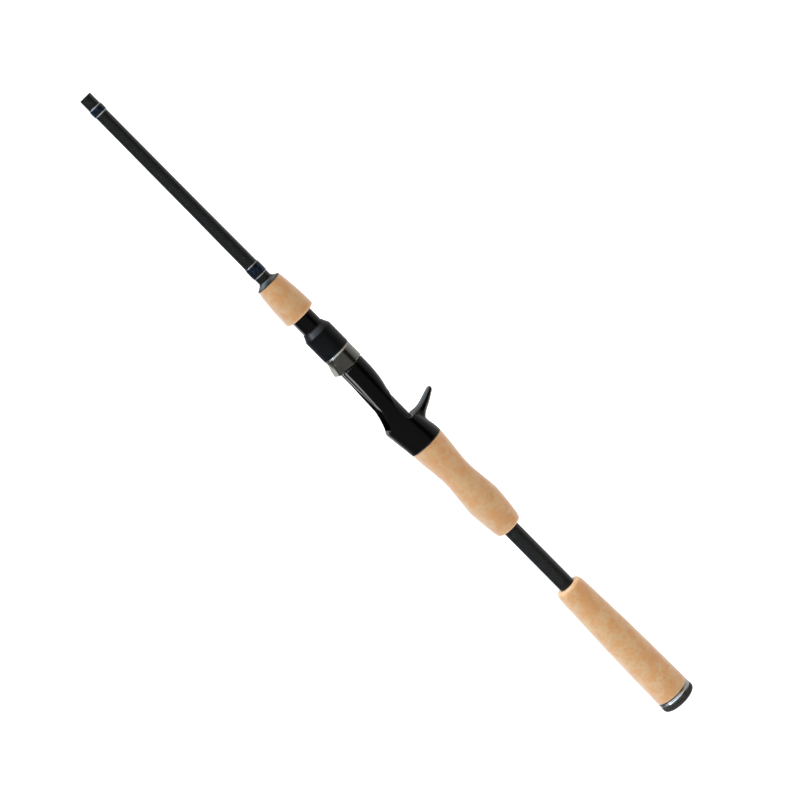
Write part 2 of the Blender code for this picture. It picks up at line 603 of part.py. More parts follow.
def build():
    for thing in list(bpy.data.objects):
        bpy.data.objects.remove(thing)

    materials = {
        "carbon": make_material("carbon_blank", (0.018, 0.019, 0.020), 0.38),
        "wrap_thread": make_material("wrap_thread", (0.006, 0.010, 0.030), 0.12),
        "trim_thread": make_material("trim_thread", (0.62, 0.64, 0.68), 0.22, 0.8),
        "check_metal": make_material("check_metal", (0.22, 0.22, 0.22), 0.35, 0.9),
        "cork": make_material("cork", (0.66, 0.45, 0.27), 0.85),
        "seat_plastic": make_material("seat_plastic", (0.012, 0.012, 0.013), 0.16),
        "nut_plastic": make_material("nut_plastic", (0.014, 0.015, 0.018), 0.42),
        "hood_metal": make_material("hood_metal", (0.30, 0.29, 0.27), 0.2, 1.0),
        "liner_plastic": make_material("liner_plastic", (0.03, 0.03, 0.03), 0.5),
        "cushion": make_material("cushion", (0.02, 0.02, 0.02), 0.7),
        "spring_steel": make_material("spring_steel", (0.5, 0.5, 0.5), 0.3, 1.0),
        "arbor": make_material("arbor", (0.25, 0.25, 0.24), 0.8),
        "ring_metal": make_material("ring_metal", (0.42, 0.42, 0.42), 0.25, 1.0),
        "rubber": make_material("rubber", (0.02, 0.02, 0.021), 0.7),
    }

    make_blank(materials)
    thread_wrap("ferrule_wrap", TIP_X - FERRULE_WRAP_FROM_TIP, FERRULE_WRAP_LENGTH, materials)
    wrap_rear = FOREGRIP_FRONT_X + CHECK_LENGTH + GRIP_WRAP_TO_CHECK
    thread_wrap("grip_wrap", wrap_rear + GRIP_WRAP_LENGTH, GRIP_WRAP_LENGTH, materials)
    make_winding_check(materials)
    cork_grip("foregrip", FOREGRIP_FRONT_X, FOREGRIP_LENGTH, FOREGRIP_OUTLINE, 0, FOREGRIP_REAR_ROUND,
              materials["cork"])

    make_seat_body(materials)
    make_arbor(materials)
    carriage = new_object("hood_carriage", None, (SHOULDER_X, 0, AXIS_Z))
    make_hood(materials, carriage)
    make_nut(materials, carriage)

    cork_grip("rear_grip", REAR_GRIP_FRONT_X, REAR_GRIP_LENGTH, REAR_GRIP_OUTLINE, 0, REAR_GRIP_ROUND,
              materials["cork"])
    cork_grip("butt_grip", BUTT_GRIP_FRONT_X, BUTT_GRIP_LENGTH, BUTT_GRIP_OUTLINE, BUTT_GRIP_ROUND, 0,
              materials["cork"])
    make_butt_end(materials)


build()
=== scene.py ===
import math
import random

import bmesh
import bpy
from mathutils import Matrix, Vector, noise


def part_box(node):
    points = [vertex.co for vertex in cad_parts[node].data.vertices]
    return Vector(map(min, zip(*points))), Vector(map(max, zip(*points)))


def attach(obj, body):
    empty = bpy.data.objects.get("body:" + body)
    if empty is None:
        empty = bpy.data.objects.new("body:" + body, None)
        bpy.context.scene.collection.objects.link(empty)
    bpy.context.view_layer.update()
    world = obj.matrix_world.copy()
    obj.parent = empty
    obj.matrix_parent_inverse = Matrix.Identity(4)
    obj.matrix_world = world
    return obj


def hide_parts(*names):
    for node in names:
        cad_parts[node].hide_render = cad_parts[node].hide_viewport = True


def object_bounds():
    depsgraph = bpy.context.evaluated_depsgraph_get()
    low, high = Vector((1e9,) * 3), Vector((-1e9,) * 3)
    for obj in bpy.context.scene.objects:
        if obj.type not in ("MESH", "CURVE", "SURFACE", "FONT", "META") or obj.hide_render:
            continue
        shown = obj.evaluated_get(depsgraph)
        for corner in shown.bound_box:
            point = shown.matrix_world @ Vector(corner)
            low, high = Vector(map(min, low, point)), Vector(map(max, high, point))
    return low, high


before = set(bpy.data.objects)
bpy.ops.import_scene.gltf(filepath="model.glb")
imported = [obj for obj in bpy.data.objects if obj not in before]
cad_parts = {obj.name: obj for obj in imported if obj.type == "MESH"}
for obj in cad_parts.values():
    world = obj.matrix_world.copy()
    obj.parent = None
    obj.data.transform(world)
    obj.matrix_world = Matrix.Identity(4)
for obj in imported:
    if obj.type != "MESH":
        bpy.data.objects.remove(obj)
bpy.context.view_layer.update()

# Looks of the handle section of a trigger casting rod: carbon blank, thread wraps, cork grips, moulded
# reel seat with a metal hood and a locking nut, trim ring and butt cap. +X points to the rod's tip and
# +Z to the reel's side. Everything is in metres.

MM = 0.001
TURN = 2 * math.pi
AXIS_Z = sum(corner.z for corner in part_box("blank_tube")) / 2


# ---------------------------------------------------------------- reading the frame

def ends(node):
    """Front (tip side) and rear x of a CAD node."""
    low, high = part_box(node)
    return high.x, low.x


def outer_outline(*nodes):
    """Outer (x, radius) points of turned CAD nodes, from the tip side back."""
    widest = {}
    for node in nodes:
        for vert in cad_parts[node].data.vertices:
            x = round(vert.co.x, 5)
            widest[x] = max(widest.get(x, 0.0), math.hypot(vert.co.y, vert.co.z - AXIS_Z))
    return sorted(widest.items(), reverse=True)


def inner_radius(node):
    """Radius of a turned CAD node's narrowest bore."""
    return min(math.hypot(v.co.y, v.co.z - AXIS_Z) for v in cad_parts[node].data.vertices)


def smooth(points, x, column=1):
    """Value of a column at x on a smooth curve through rows that rise by their first value."""
    xs = [p[0] for p in points]
    ys = [p[column] for p in points]
    slopes = [(ys[i + 1] - ys[i]) / (xs[i + 1] - xs[i]) for i in range(len(xs) - 1)]
    tangents = [slopes[0]]
    for before, after in zip(slopes, slopes[1:]):
        level = before * after <= 0
        tangents.append(0.0 if level else 2 * before * after / (before + after))
    tangents.append(slopes[-1])
    i = max(k for k in range(len(slopes)) if xs[k] <= max(x, xs[0]))
    span = xs[i + 1] - xs[i]
    t = min(max((x - xs[i]) / span, 0.0), 1.0)
    from_left = (1 + 2 * t) * (1 - t) ** 2 * ys[i] + t * (1 - t) ** 2 * span * tangents[i]
    from_right = t * t * (3 - 2 * t) * ys[i + 1] + t * t * (t - 1) * span * tangents[i + 1]
    return from_left + from_right


def spread(start, stop, step):
    """Evenly spaced values from start to stop, no further apart than step."""
    count = max(1, math.ceil(abs(stop - start) / step))
    return [start + (stop - start) * k / count for k in range(count + 1)]


def arc(x, radius, size, first, last, steps=6):
    """Outline points on a round of that size about (x, radius), between two angles in degrees from +X."""
    angles = [math.radians(first + (last - first) * k / steps) for k in range(steps + 1)]
    return [(x + size * math.cos(a), radius + size * math.sin(a)) for a in angles]


# ---------------------------------------------------------------- modelling by hand

def deselect():
    bpy.ops.object.select_all(action="DESELECT")


def finish_mesh(piece, sharp=35):
    """Leaves edit mode with doubles merged, faces turned outwards and smooth shading up to an angle."""
    bpy.ops.mesh.select_all(action="SELECT")
    bpy.ops.mesh.remove_doubles(threshold=0.002 * MM)
    bpy.ops.mesh.normals_make_consistent(inside=False)
    bpy.ops.object.mode_set(mode="OBJECT")
    bpy.ops.object.shade_smooth_by_angle(angle=math.radians(sharp))
    return piece


def turned(name, outline, segments=96):
    """Piece turned on the rod's axis: a closed outline of (x, radius), drawn point by point and spun."""
    deselect()
    bpy.ops.mesh.primitive_plane_add(size=MM)
    piece = bpy.context.object
    piece.name = name
    bpy.ops.object.mode_set(mode="EDIT")
    bpy.ops.mesh.merge(type="CENTER")
    x, radius = outline[0]
    bpy.ops.transform.translate(value=(x, 0, AXIS_Z + radius))
    for (x0, r0), (x1, r1) in zip(outline, outline[1:] + outline[:1]):
        bpy.ops.mesh.extrude_region_move(TRANSFORM_OT_translate={"value": (x1 - x0, 0, r1 - r0)})
    bpy.ops.mesh.select_all(action="SELECT")
    bpy.ops.mesh.spin(steps=segments, angle=TURN, center=(0, 0, AXIS_Z), axis=(1, 0, 0))
    return finish_mesh(piece)


def skinned(name, sections, ring_shaped=False):
    """Skin over closed sections of equal point counts: the first is a circle moved into shape, and each
    next one is extruded from the last. A ring-shaped skin has its last section bridged to its first."""
    deselect()
    fill = "NOTHING" if ring_shaped else "NGON"
    bpy.ops.mesh.primitive_circle_add(vertices=len(sections[0]), radius=MM, fill_type=fill)
    piece = bpy.context.object
    piece.name = name
    bpy.ops.object.mode_set(mode="EDIT")
    shape = bmesh.from_edit_mesh(piece.data)
    place = shape.verts.layers.int.new("place")
    for k, vert in enumerate(shape.verts):
        vert[place] = k
        vert.co = sections[0][k]
    for section in sections[1:]:
        bpy.ops.mesh.extrude_region_move()
        shape = bmesh.from_edit_mesh(piece.data)
        place = shape.verts.layers.int["place"]
        for vert in shape.verts:
            if vert.select:
                vert.co = section[vert[place]]
        bmesh.update_edit_mesh(piece.data)
    if ring_shaped:
        bpy.ops.mesh.select_all(action="DESELECT")
        shape = bmesh.from_edit_mesh(piece.data)
        for edge in shape.edges:
            edge.select_set(edge.is_boundary)
        bmesh.update_edit_mesh(piece.data)
        bpy.ops.mesh.bridge_edge_loops()
    return finish_mesh(piece)


def apply_modifier(piece, kind, **settings):
    """Adds a modifier, sets it and applies it."""
    modifier = piece.modifiers.new(kind.lower(), kind)
    for setting, value in settings.items():
        setattr(modifier, setting, value)
    deselect()
    piece.select_set(True)
    bpy.context.view_layer.objects.active = piece
    bpy.ops.object.modifier_apply(modifier=modifier.name)


def cut_or_join(piece, tool, operation):
    """Exact Boolean of a tool on a piece. The tool is used up."""
    apply_modifier(piece, "BOOLEAN", operation=operation, solver="EXACT", object=tool)
    bpy.data.objects.remove(tool)


def side_cutter(name, outline, half_width):
    """Block with an outline of (x, z) in the side view, reaching half_width to both sides."""
    return skinned(name, [[(x, side * half_width, z) for x, z in outline] for side in (-1, 1)])


def fit(piece, body, slot, material, *nodes):
    """Gives a piece its finish and its body, and hides the CAD nodes that it stands for."""
    piece.data.materials.append(material)
    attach(piece, body)
    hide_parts(*nodes)


# ---------------------------------------------------------------- material tools

def colour(code):
    """Linear RGBA of an sRGB hex value."""
    channels = [int(code[k:k + 2], 16) / 255 for k in (1, 3, 5)]
    linear = [c / 12.92 if c <= 0.04045 else ((c + 0.055) / 1.055) ** 2.4 for c in channels]
    return (*linear, 1.0)


def add(tree, kind, inputs=None, **settings):
    """Adds a node with its settings. An input given as another node's output is linked to it."""
    node = tree.nodes.new(kind)
    for setting, value in settings.items():
        setattr(node, setting, value)
    for socket, value in (inputs or {}).items():
        if isinstance(value, bpy.types.NodeSocket):
            tree.links.new(value, node.inputs[socket])
        else:
            node.inputs[socket].default_value = value
    return node


def new_material(name):
    """Empty material, with its tree and the object coordinates that its patterns use."""
    material = bpy.data.materials.new(name)
    material.use_nodes = True
    tree = material.node_tree
    tree.nodes.clear()
    place = add(tree, "ShaderNodeTexCoord").outputs["Object"]
    return material, tree, place


def surface(tree, **sockets):
    """Principled shader wired to the output. Socket names are written with _ for a space."""
    inputs = {name.replace("_", " "): value for name, value in sockets.items()}
    shader = add(tree, "ShaderNodeBsdfPrincipled", inputs)
    add(tree, "ShaderNodeOutputMaterial", {"Surface": shader.outputs[0]})
    return shader


def sanded_cork():
    """Natural cork, turned and sanded: warm tan with soft orange and straw clouds, fine cells, a few faint
    pores and a dusty, quite matt skin. Each glued ring has a tone of its own. The cells are drawn 0.6 mm
    wide so that they show: real ones are 0.04 mm."""
    material, tree, place = new_material("sanded_cork")
    clouds = add(tree, "ShaderNodeTexNoise", {"Vector": place, "Scale": 1 / (7 * MM), "Detail": 3.0})
    patches = add(tree, "ShaderNodeTexNoise", {"Vector": place, "Scale": 1 / (2.4 * MM), "Detail": 4.0})
    cells = add(tree, "ShaderNodeTexVoronoi", {"Vector": place, "Scale": 1 / (0.6 * MM)})
    tone = add(tree, "ShaderNodeAttribute", attribute_name="tone")
    pore = add(tree, "ShaderNodeAttribute", attribute_name="pore")
    warm = add(tree, "ShaderNodeMapRange", {"Value": clouds.outputs["Fac"], "From Min": 0.42,
                                            "From Max": 0.58})
    base = add(tree, "ShaderNodeMix", {"Factor": warm.outputs[0], 6: colour("#efbe87"),
                                       7: colour("#edac6e")}, data_type="RGBA")
    spot = add(tree, "ShaderNodeMapRange", {"Value": patches.outputs["Fac"], "From Min": 0.45,
                                            "From Max": 0.7, "To Max": 0.4})
    mottled = add(tree, "ShaderNodeMix", {"Factor": spot.outputs[0], 6: base.outputs[2],
                                          7: colour("#e09c5f")}, data_type="RGBA")
    grain = add(tree, "ShaderNodeMapRange", {"Value": cells.outputs["Distance"], "From Min": 0.4,
                                             "From Max": 0.95, "To Max": 0.12})
    grained = add(tree, "ShaderNodeMix", {"Factor": grain.outputs[0], 6: mottled.outputs[2],
                                          7: colour("#b98150")}, data_type="RGBA")
    lift = add(tree, "ShaderNodeMapRange", {"Value": tone.outputs["Fac"], "To Min": 0.97, "To Max": 1.14})
    toned = add(tree, "ShaderNodeHueSaturation", {"Value": lift.outputs[0], "Color": grained.outputs[2]})
    faint = add(tree, "ShaderNodeMath", {0: pore.outputs["Fac"], 1: 0.45}, operation="MULTIPLY")
    pored = add(tree, "ShaderNodeMix", {"Factor": faint.outputs[0], 6: toned.outputs[0],
                                        7: colour("#a9713f")}, data_type="RGBA")
    bump = add(tree, "ShaderNodeBump", {"Height": cells.outputs["Distance"], "Strength": 0.15,
                                        "Distance": 0.06 * MM}, invert=True)
    rough = add(tree, "ShaderNodeMapRange", {"Value": patches.outputs["Fac"], "To Min": 0.5,
                                             "To Max": 0.66})
    surface(tree, Base_Color=pored.outputs[2], Roughness=rough.outputs[0], IOR=1.45, Normal=bump.outputs[0],
            Sheen_Weight=1.0, Sheen_Roughness=0.5)
    return material


def wound_carbon():
    """Carbon-fibre blank under a thin satin coat: near black, with a faint diagonal cross-hatch from the
    fabric and its binding tape. The hatch's lighter grey strands are partly painted glints on the fibres.
    The real hatch is 0.3 mm wide, and is drawn at 1.2 mm so that it shows."""
    material, tree, place = new_material("wound_carbon")
    centred = add(tree, "ShaderNodeMapping", {"Vector": place, "Location": (0, 0, -AXIS_Z)})
    parts = add(tree, "ShaderNodeSeparateXYZ", {"Vector": centred.outputs[0]})
    angle = add(tree, "ShaderNodeMath", {0: parts.outputs["Y"], 1: parts.outputs["Z"]}, operation="ARCTAN2")
    turns = 24 / TURN
    pitch = 1.2 * MM
    hatches = []
    for hand in (1, -1):
        around = add(tree, "ShaderNodeMath", {0: angle.outputs[0], 1: hand * turns}, operation="MULTIPLY")
        along = add(tree, "ShaderNodeMath", {0: parts.outputs["X"], 1: 1 / pitch, 2: around.outputs[0]},
                    operation="MULTIPLY_ADD")
        wave = add(tree, "ShaderNodeMath", {0: along.outputs[0], 1: 1.0}, operation="PINGPONG")
        hatches.append(wave.outputs[0])
    hatch = add(tree, "ShaderNodeMath", {0: hatches[0], 1: hatches[1]}, operation="MULTIPLY")
    flecks = add(tree, "ShaderNodeTexNoise", {"Vector": centred.outputs[0], "Scale": 1 / (1.1 * MM),
                                              "Detail": 4.0})
    uneven = add(tree, "ShaderNodeMapRange", {"Value": flecks.outputs["Fac"], "From Min": 0.4,
                                              "From Max": 0.65})
    shade = add(tree, "ShaderNodeMath", {0: hatch.outputs[0], 1: uneven.outputs[0]}, operation="MULTIPLY")
    # painted glint: the hatch strands go lighter grey, partly the tape's pattern and partly light caught by
    # the fibres
    glint = add(tree, "ShaderNodeMapRange", {"Value": shade.outputs[0], "From Min": 0.1, "From Max": 0.5})
    tint = add(tree, "ShaderNodeMix", {"Factor": glint.outputs[0], 6: colour("#030303"),
                                       7: colour("#303132")}, data_type="RGBA")
    bump = add(tree, "ShaderNodeBump", {"Height": shade.outputs[0], "Strength": 0.15,
                                        "Distance": 0.05 * MM})
    surface(tree, Base_Color=tint.outputs[2], Roughness=0.42, IOR=1.5, Normal=bump.outputs[0],
            Coat_Weight=0.8, Coat_Roughness=0.26)
    return material


def thread_under_epoxy(name, dark, bright, metallic):
    """Nylon winding thread, 0.15 mm thick, under a clear gloss epoxy coat: fine turns below a smooth wet
    surface. They have painted glints where a noise mask gives the turns the bright colour.
    The turns are drawn 0.3 mm apart so that they show."""
    material, tree, place = new_material(name)
    turns = add(tree, "ShaderNodeTexWave", {"Vector": place, "Scale": TURN / (20 * 0.3 * MM),
                                            "Distortion": 0.4}, bands_direction="X")
    glow = add(tree, "ShaderNodeTexNoise", {"Vector": place, "Scale": 1 / (1.6 * MM), "Detail": 2.0})
    # painted glints: noise patches where the turns take the bright colour instead of the thread's own dark
    # one
    painted_glint_mask = add(tree, "ShaderNodeMapRange", {"Value": glow.outputs["Fac"], "From Min": 0.5, "From Max": 0.72})
    share = add(tree, "ShaderNodeMath", {0: turns.outputs["Fac"], 1: painted_glint_mask.outputs[0]}, operation="MULTIPLY")
    mixed = add(tree, "ShaderNodeMix", {"Factor": share.outputs[0], 6: colour(dark), 7: colour(bright)},
                data_type="RGBA")
    bump = add(tree, "ShaderNodeBump", {"Height": turns.outputs["Fac"], "Strength": 0.5,
                                        "Distance": 0.05 * MM})
    surface(tree, Base_Color=mixed.outputs[2], Metallic=metallic, Roughness=0.35, IOR=1.5,
            Specular_IOR_Level=0.2, Normal=bump.outputs[0], Coat_Weight=1.0, Coat_Roughness=0.03,
            Coat_IOR=1.5)
    return material


def turned_metal(name, dark, bright, roughness, line):
    """Metal turned on a lathe: fine rings around the axis, a tool line wide, spread the gloss along it."""
    material, tree, place = new_material(name)
    squeezed = add(tree, "ShaderNodeMapping", {"Vector": place, "Scale": (1 / line, 8.0, 8.0)})
    rings = add(tree, "ShaderNodeTexNoise", {"Vector": squeezed.outputs[0], "Scale": 1.0, "Detail": 3.0})
    smudge = add(tree, "ShaderNodeTexNoise", {"Vector": place, "Scale": 1 / (6 * MM), "Detail": 2.0})
    tint = add(tree, "ShaderNodeMix", {"Factor": rings.outputs["Fac"], 6: colour(dark), 7: colour(bright)},
               data_type="RGBA")
    rough = add(tree, "ShaderNodeMapRange", {"Value": smudge.outputs["Fac"], "From Min": 0.3,
                                             "From Max": 0.7, "To Min": roughness * 0.8,
                                             "To Max": roughness * 1.25})
    bump = add(tree, "ShaderNodeBump", {"Height": rings.outputs["Fac"], "Strength": 0.12,
                                        "Distance": 0.02 * MM})
    surface(tree, Base_Color=tint.outputs[2], Metallic=1.0, Roughness=rough.outputs[0],
            Normal=bump.outputs[0])
    return material


def polished_gunmetal():
    """Stainless steel with a dark vapour coating, polished: a warm dark mirror whose faint smears, 9 mm
    long and 1.2 mm wide, run along the rod."""
    material, tree, place = new_material("polished_gunmetal")
    smear_scale = (1 / (9 * MM), 1 / (1.2 * MM), 1 / (1.2 * MM))
    stretched = add(tree, "ShaderNodeMapping", {"Vector": place, "Scale": smear_scale})
    smears = add(tree, "ShaderNodeTexNoise", {"Vector": stretched.outputs[0], "Scale": 1.0, "Detail": 4.0})
    tint = add(tree, "ShaderNodeMix", {"Factor": smears.outputs["Fac"], 6: colour("#989790"),
                                       7: colour("#afada4")}, data_type="RGBA")
    rough = add(tree, "ShaderNodeMapRange", {"Value": smears.outputs["Fac"], "From Min": 0.3,
                                             "From Max": 0.7, "To Min": 0.12, "To Max": 0.22})
    surface(tree, Base_Color=tint.outputs[2], Metallic=1.0, Roughness=rough.outputs[0])
    return material


def moulded_nylon(name, dark, light, roughness, grain, depth, gloss=0.5):
    """Nylon, rubber or foam from a mould: an even tone with a slight haze, whose fine skin breaks up the
    gloss. The grain is the skin's width and the depth its height."""
    material, tree, place = new_material(name)
    skin = add(tree, "ShaderNodeTexNoise", {"Vector": place, "Scale": 1 / grain, "Detail": 3.0})
    haze = add(tree, "ShaderNodeTexNoise", {"Vector": place, "Scale": 1 / (14 * MM), "Detail": 2.0})
    tint = add(tree, "ShaderNodeMix", {"Factor": haze.outputs["Fac"], 6: colour(dark), 7: colour(light)},
               data_type="RGBA")
    rough = add(tree, "ShaderNodeMapRange", {"Value": haze.outputs["Fac"], "From Min": 0.3, "From Max": 0.7,
                                             "To Min": roughness * 0.85, "To Max": roughness * 1.2})
    bump = add(tree, "ShaderNodeBump", {"Height": skin.outputs["Fac"], "Strength": 0.35, "Distance": depth})
    surface(tree, Base_Color=tint.outputs[2], Roughness=rough.outputs[0], IOR=1.5, Normal=bump.outputs[0],
            Specular_IOR_Level=gloss)
    return material


def speckled_rubber():
    """Cork-and-rubber compound of the butt cap: near black, with fine grey-brown crumbs and a dull skin."""
    material, tree, place = new_material("speckled_black_rubber")
    crumbs = add(tree, "ShaderNodeTexNoise", {"Vector": place, "Scale": 1 / (0.9 * MM), "Detail": 3.0,
                                              "Roughness": 0.7})
    speck = add(tree, "ShaderNodeMapRange", {"Value": crumbs.outputs["Fac"], "From Min": 0.4,
                                             "From Max": 0.68})
    tint = add(tree, "ShaderNodeMix", {"Factor": speck.outputs[0], 6: colour("#151515"),
                                       7: colour("#4a4541")}, data_type="RGBA")
    bump = add(tree, "ShaderNodeBump", {"Height": crumbs.outputs["Fac"], "Strength": 0.5,
                                        "Distance": 0.1 * MM})
    rough = add(tree, "ShaderNodeMapRange", {"Value": crumbs.outputs["Fac"], "To Min": 0.5, "To Max": 0.75})
    surface(tree, Base_Color=tint.outputs[2], Roughness=rough.outputs[0], IOR=1.45, Normal=bump.outputs[0])
    return material


# ---------------------------------------------------------------- blank, wraps and check

BLANK_NODES = ("blank_ferrule_end", "blank_tube")
BLANK = outer_outline(*BLANK_NODES)


def blank_radius(x):
    rising = [(px, r) for px, r in reversed(BLANK)]
    for (x0, r0), (x1, r1) in zip(rising, rising[1:]):
        if x <= x1:
            return r0 + (r1 - r0) * max((x - x0) / (x1 - x0), 0.0)
    return rising[-1][1]


def make_blank():
    """The whole blank in one piece: lipped ferrule mouth, its straight bore, and the tapered tube."""
    front, _ = ends("blank_ferrule_end")
    socket_x = ends("blank_tube")[0]
    rear = ends("blank_tube")[1]
    bore = inner_radius("blank_ferrule_end")
    lip = 0.25 * MM
    outline = [(front, bore + lip), (front, blank_radius(front) - lip)]
    outline += arc(front - lip, blank_radius(front) - lip, lip, 30, 90, 3)
    outline += [(x, blank_radius(x)) for x in spread(front - 2 * lip, rear, 2.0 * MM)]
    wall = 1.25 * MM
    outline += [(rear, blank_radius(rear) - wall), (socket_x, bore), (front - lip, bore)]
    return turned("rod_blank", outline, 72)


def wrap_height(x, front, rear, rise):
    """Height of the epoxy dome over the blank: steep at its feathered ends, nearly flat between."""
    middle, half = (front + rear) / 2, (front - rear) / 2
    u = min(abs(x - middle) / half, 1.0)
    return rise * (1 - u ** 4) + 0.1 * MM


def make_wrap(name, navy, silver):
    """Thread band and its two trim bands, one piece each, under one continuous dome of epoxy."""
    front = ends(f"{name}_trim_front")[0]
    rear = ends(f"{name}_trim_rear")[1]
    rise = 0.42 * MM
    for part, material, slot in (("trim_front", silver, "trim_thread"), ("band", navy, "wrap_thread"),
                                 ("trim_rear", silver, "trim_thread")):
        x0, x1 = ends(f"{name}_{part}")
        x0 -= 0.18 * MM if part == "trim_front" else 0.0
        x1 += 0.18 * MM if part == "trim_rear" else 0.0
        skin = [(x, blank_radius(x) + wrap_height(x, front, rear, rise)) for x in spread(x0, x1, 0.15 * MM)]
        under = [(x1, blank_radius(x1) + 0.02 * MM), (x0, blank_radius(x0) + 0.02 * MM)]
        fit(turned(f"{name}_{part}_coated", skin + under), "handle", slot, material, f"{name}_{part}")


def make_check():
    """Winding check: a fine lip on the blank that flares into a cone, with its flange against the cork."""
    front, rear = ends("winding_check")
    inner = blank_radius(front) + 0.1 * MM
    flange = outer_outline("winding_check")[-1][1]
    lip = 0.22 * MM
    length = front - rear
    outline = [(front, inner)] + arc(front - lip, inner + lip, lip, -30, 90, 5)
    flare = [(0.0, inner + 2 * lip), (0.4, inner + 1.4 * MM), (0.75, inner + 2.8 * MM),
             (1.0, flange - 0.05 * MM)]
    flare_length = length - 2 * lip - 0.3 * MM
    outline += [(front - 1.5 * lip - flare_length * u, smooth(flare, u)) for u in spread(0.02, 1, 0.08)]
    outline += arc(rear + 0.25 * MM, flange - 0.25 * MM, 0.25 * MM, 90, 180, 4)
    outline += [(rear, inner)]
    return turned("winding_check_cone", outline)


# ---------------------------------------------------------------- cork grips

def pore_depth(point, ring):
    """Share of full depth of the pores at a point: small dashes scattered through the cork."""
    depth = 0.0
    for size, seed in ((4.6, 11.0), (3.1, 47.0)):
        scaled = Vector((point.x / MM / size * 1.6, point.y / MM / size, point.z / MM / size))
        distances, centres = noise.voronoi(scaled + Vector((seed + 5.3 * ring, seed, -seed)))
        if noise.cell(centres[0] * 7.7) > 0.2:
            depth = max(depth, 1 - distances[0] / 0.16)
    return max(depth, 0.0)


def make_cork_grip(name, count, paleness, material, segments=150):
    """Cork rings of one grip, butted with a hairline between them, with pores in their surface."""
    nodes = [f"{name}_cork_ring_{k}" for k in range(1, count + 1)]
    rising = outer_outline(*nodes)[::-1]
    hairline = 0.03 * MM
    pore = 0.1 * MM
    for k, node in enumerate(nodes):
        front, rear = ends(node)
        if k:
            front = (ends(nodes[k - 1])[1] + front) / 2 - hairline / 2
        if k < count - 1:
            rear = (ends(nodes[k + 1])[0] + rear) / 2 + hairline / 2
        bore = blank_radius(rear) + 0.1 * MM
        face = [(x, smooth(rising, x)) for x in spread(front - hairline, rear + hairline, 0.36 * MM)]
        outline = [(front, bore), (front, face[0][1] - hairline)] + face + [(rear, face[-1][1] - hairline),
                                                                             (rear, bore)]
        ring = turned(f"{name}_ring_{k + 1}_sanded", outline, segments)
        random.seed(f"{name}{k}")
        tone = paleness + 0.2 * random.random()
        mesh = ring.data
        tones = mesh.attributes.new("tone", "FLOAT", "POINT")
        pores = mesh.attributes.new("pore", "FLOAT", "POINT")
        for vert in mesh.vertices:
            tones.data[vert.index].value = tone
            radius = math.hypot(vert.co.y, vert.co.z - AXIS_Z)
            if radius < bore + 1.5 * MM or min(front - vert.co.x, vert.co.x - rear) < 2 * hairline:
                continue
            depth = pore_depth(vert.co, k)
            pores.data[vert.index].value = min(1.6 * depth, 1.0)
            inward = 1 - depth * pore / radius
            vert.co.y *= inward
            vert.co.z = AXIS_Z + (vert.co.z - AXIS_Z) * inward
        fit(ring, "handle", "cork", material, node)


# ---------------------------------------------------------------- reel seat

SHOULDER_X = 22.2 * MM
BODY_LENGTH = 71.7 * MM
BED_HEIGHT = -AXIS_Z
BED_HALF = 6.5 * MM
BORE_R = 6.05 * MM
# Sections of the moulding: (share of its length behind the shoulder, half width beyond the bed's,
# top above the bed, bottom below the bore, squareness of the top), in millimetres
BODY_SECTIONS = [
    (0.000, 2.55, 0.30, 3.65, 14.0),
    (0.140, 2.50, 0.32, 3.50, 14.0),
    (0.250, 2.35, 0.60, 2.80, 14.0),
    (0.325, 2.25, 0.88, 1.80, 13.0),
    (0.400, 2.20, 1.13, 0.50, 12.0),
    (0.475, 2.30, 1.41, 0.35, 9.0),
    (0.545, 2.70, 2.68, 0.65, 6.0),
    (0.622, 3.30, 4.73, 1.55, 4.3),
    (0.665, 3.80, 6.35, 2.35, 3.6),
    (0.705, 4.30, 8.00, 3.15, 3.0),
    (0.780, 5.00, 7.50, 4.25, 2.6),
    (0.860, 5.70, 6.90, 5.35, 2.3),
    (0.930, 6.10, 6.30, 6.25, 2.1),
    (1.000, 6.25, 5.85, 6.70, 2.0),
]
# Rim of the window that bares the blank: (share of the length, height as a share of the bore's radius)
WINDOW_RIM = [(0.380, -2.0), (0.405, -1.1), (0.440, -0.74), (0.482, -0.39), (0.530, -0.14), (0.577, -0.01),
              (0.625, 0.05), (0.672, 0.02), (0.705, -0.2), (0.721, -0.58), (0.724, -2.0)]
# Trigger: (depth below the bore, share of the body's length, front-to-rear thickness, width), in mm
TRIGGER_SECTIONS = [
    (0.75, 0.781, 12.4, 14.0),
    (3.45, 0.778, 10.8, 12.0),
    (6.45, 0.766, 8.8, 9.6),
    (9.95, 0.748, 7.2, 7.9),
    (13.95, 0.728, 6.2, 7.0),
    (17.95, 0.705, 5.1, 6.3),
    (20.95, 0.688, 3.9, 5.4),
    (22.05, 0.683, 2.8, 4.0),
    (22.55, 0.681, 1.0, 1.8),
]


def body_x(share):
    return SHOULDER_X - share * BODY_LENGTH


def seat_section(share, inset=0.0, points=72):
    """Closed section of the moulding: round below, squarer above."""
    wider, above, below, squareness = (smooth(BODY_SECTIONS, share, c) for c in range(1, 5))
    half_width = BED_HALF + wider * MM - inset
    top = BED_HEIGHT + above * MM - inset
    bottom = BORE_R + below * MM - inset
    section = []
    for k in range(points):
        c, s = math.cos(TURN * k / points), math.sin(TURN * k / points)
        power = 2 / squareness if s > 0 else 1.0
        y = half_width * math.copysign(abs(c) ** power, c)
        z = (top if s > 0 else bottom) * math.copysign(abs(s) ** power, s)
        section.append((body_x(share), y, AXIS_Z + z))
    return section


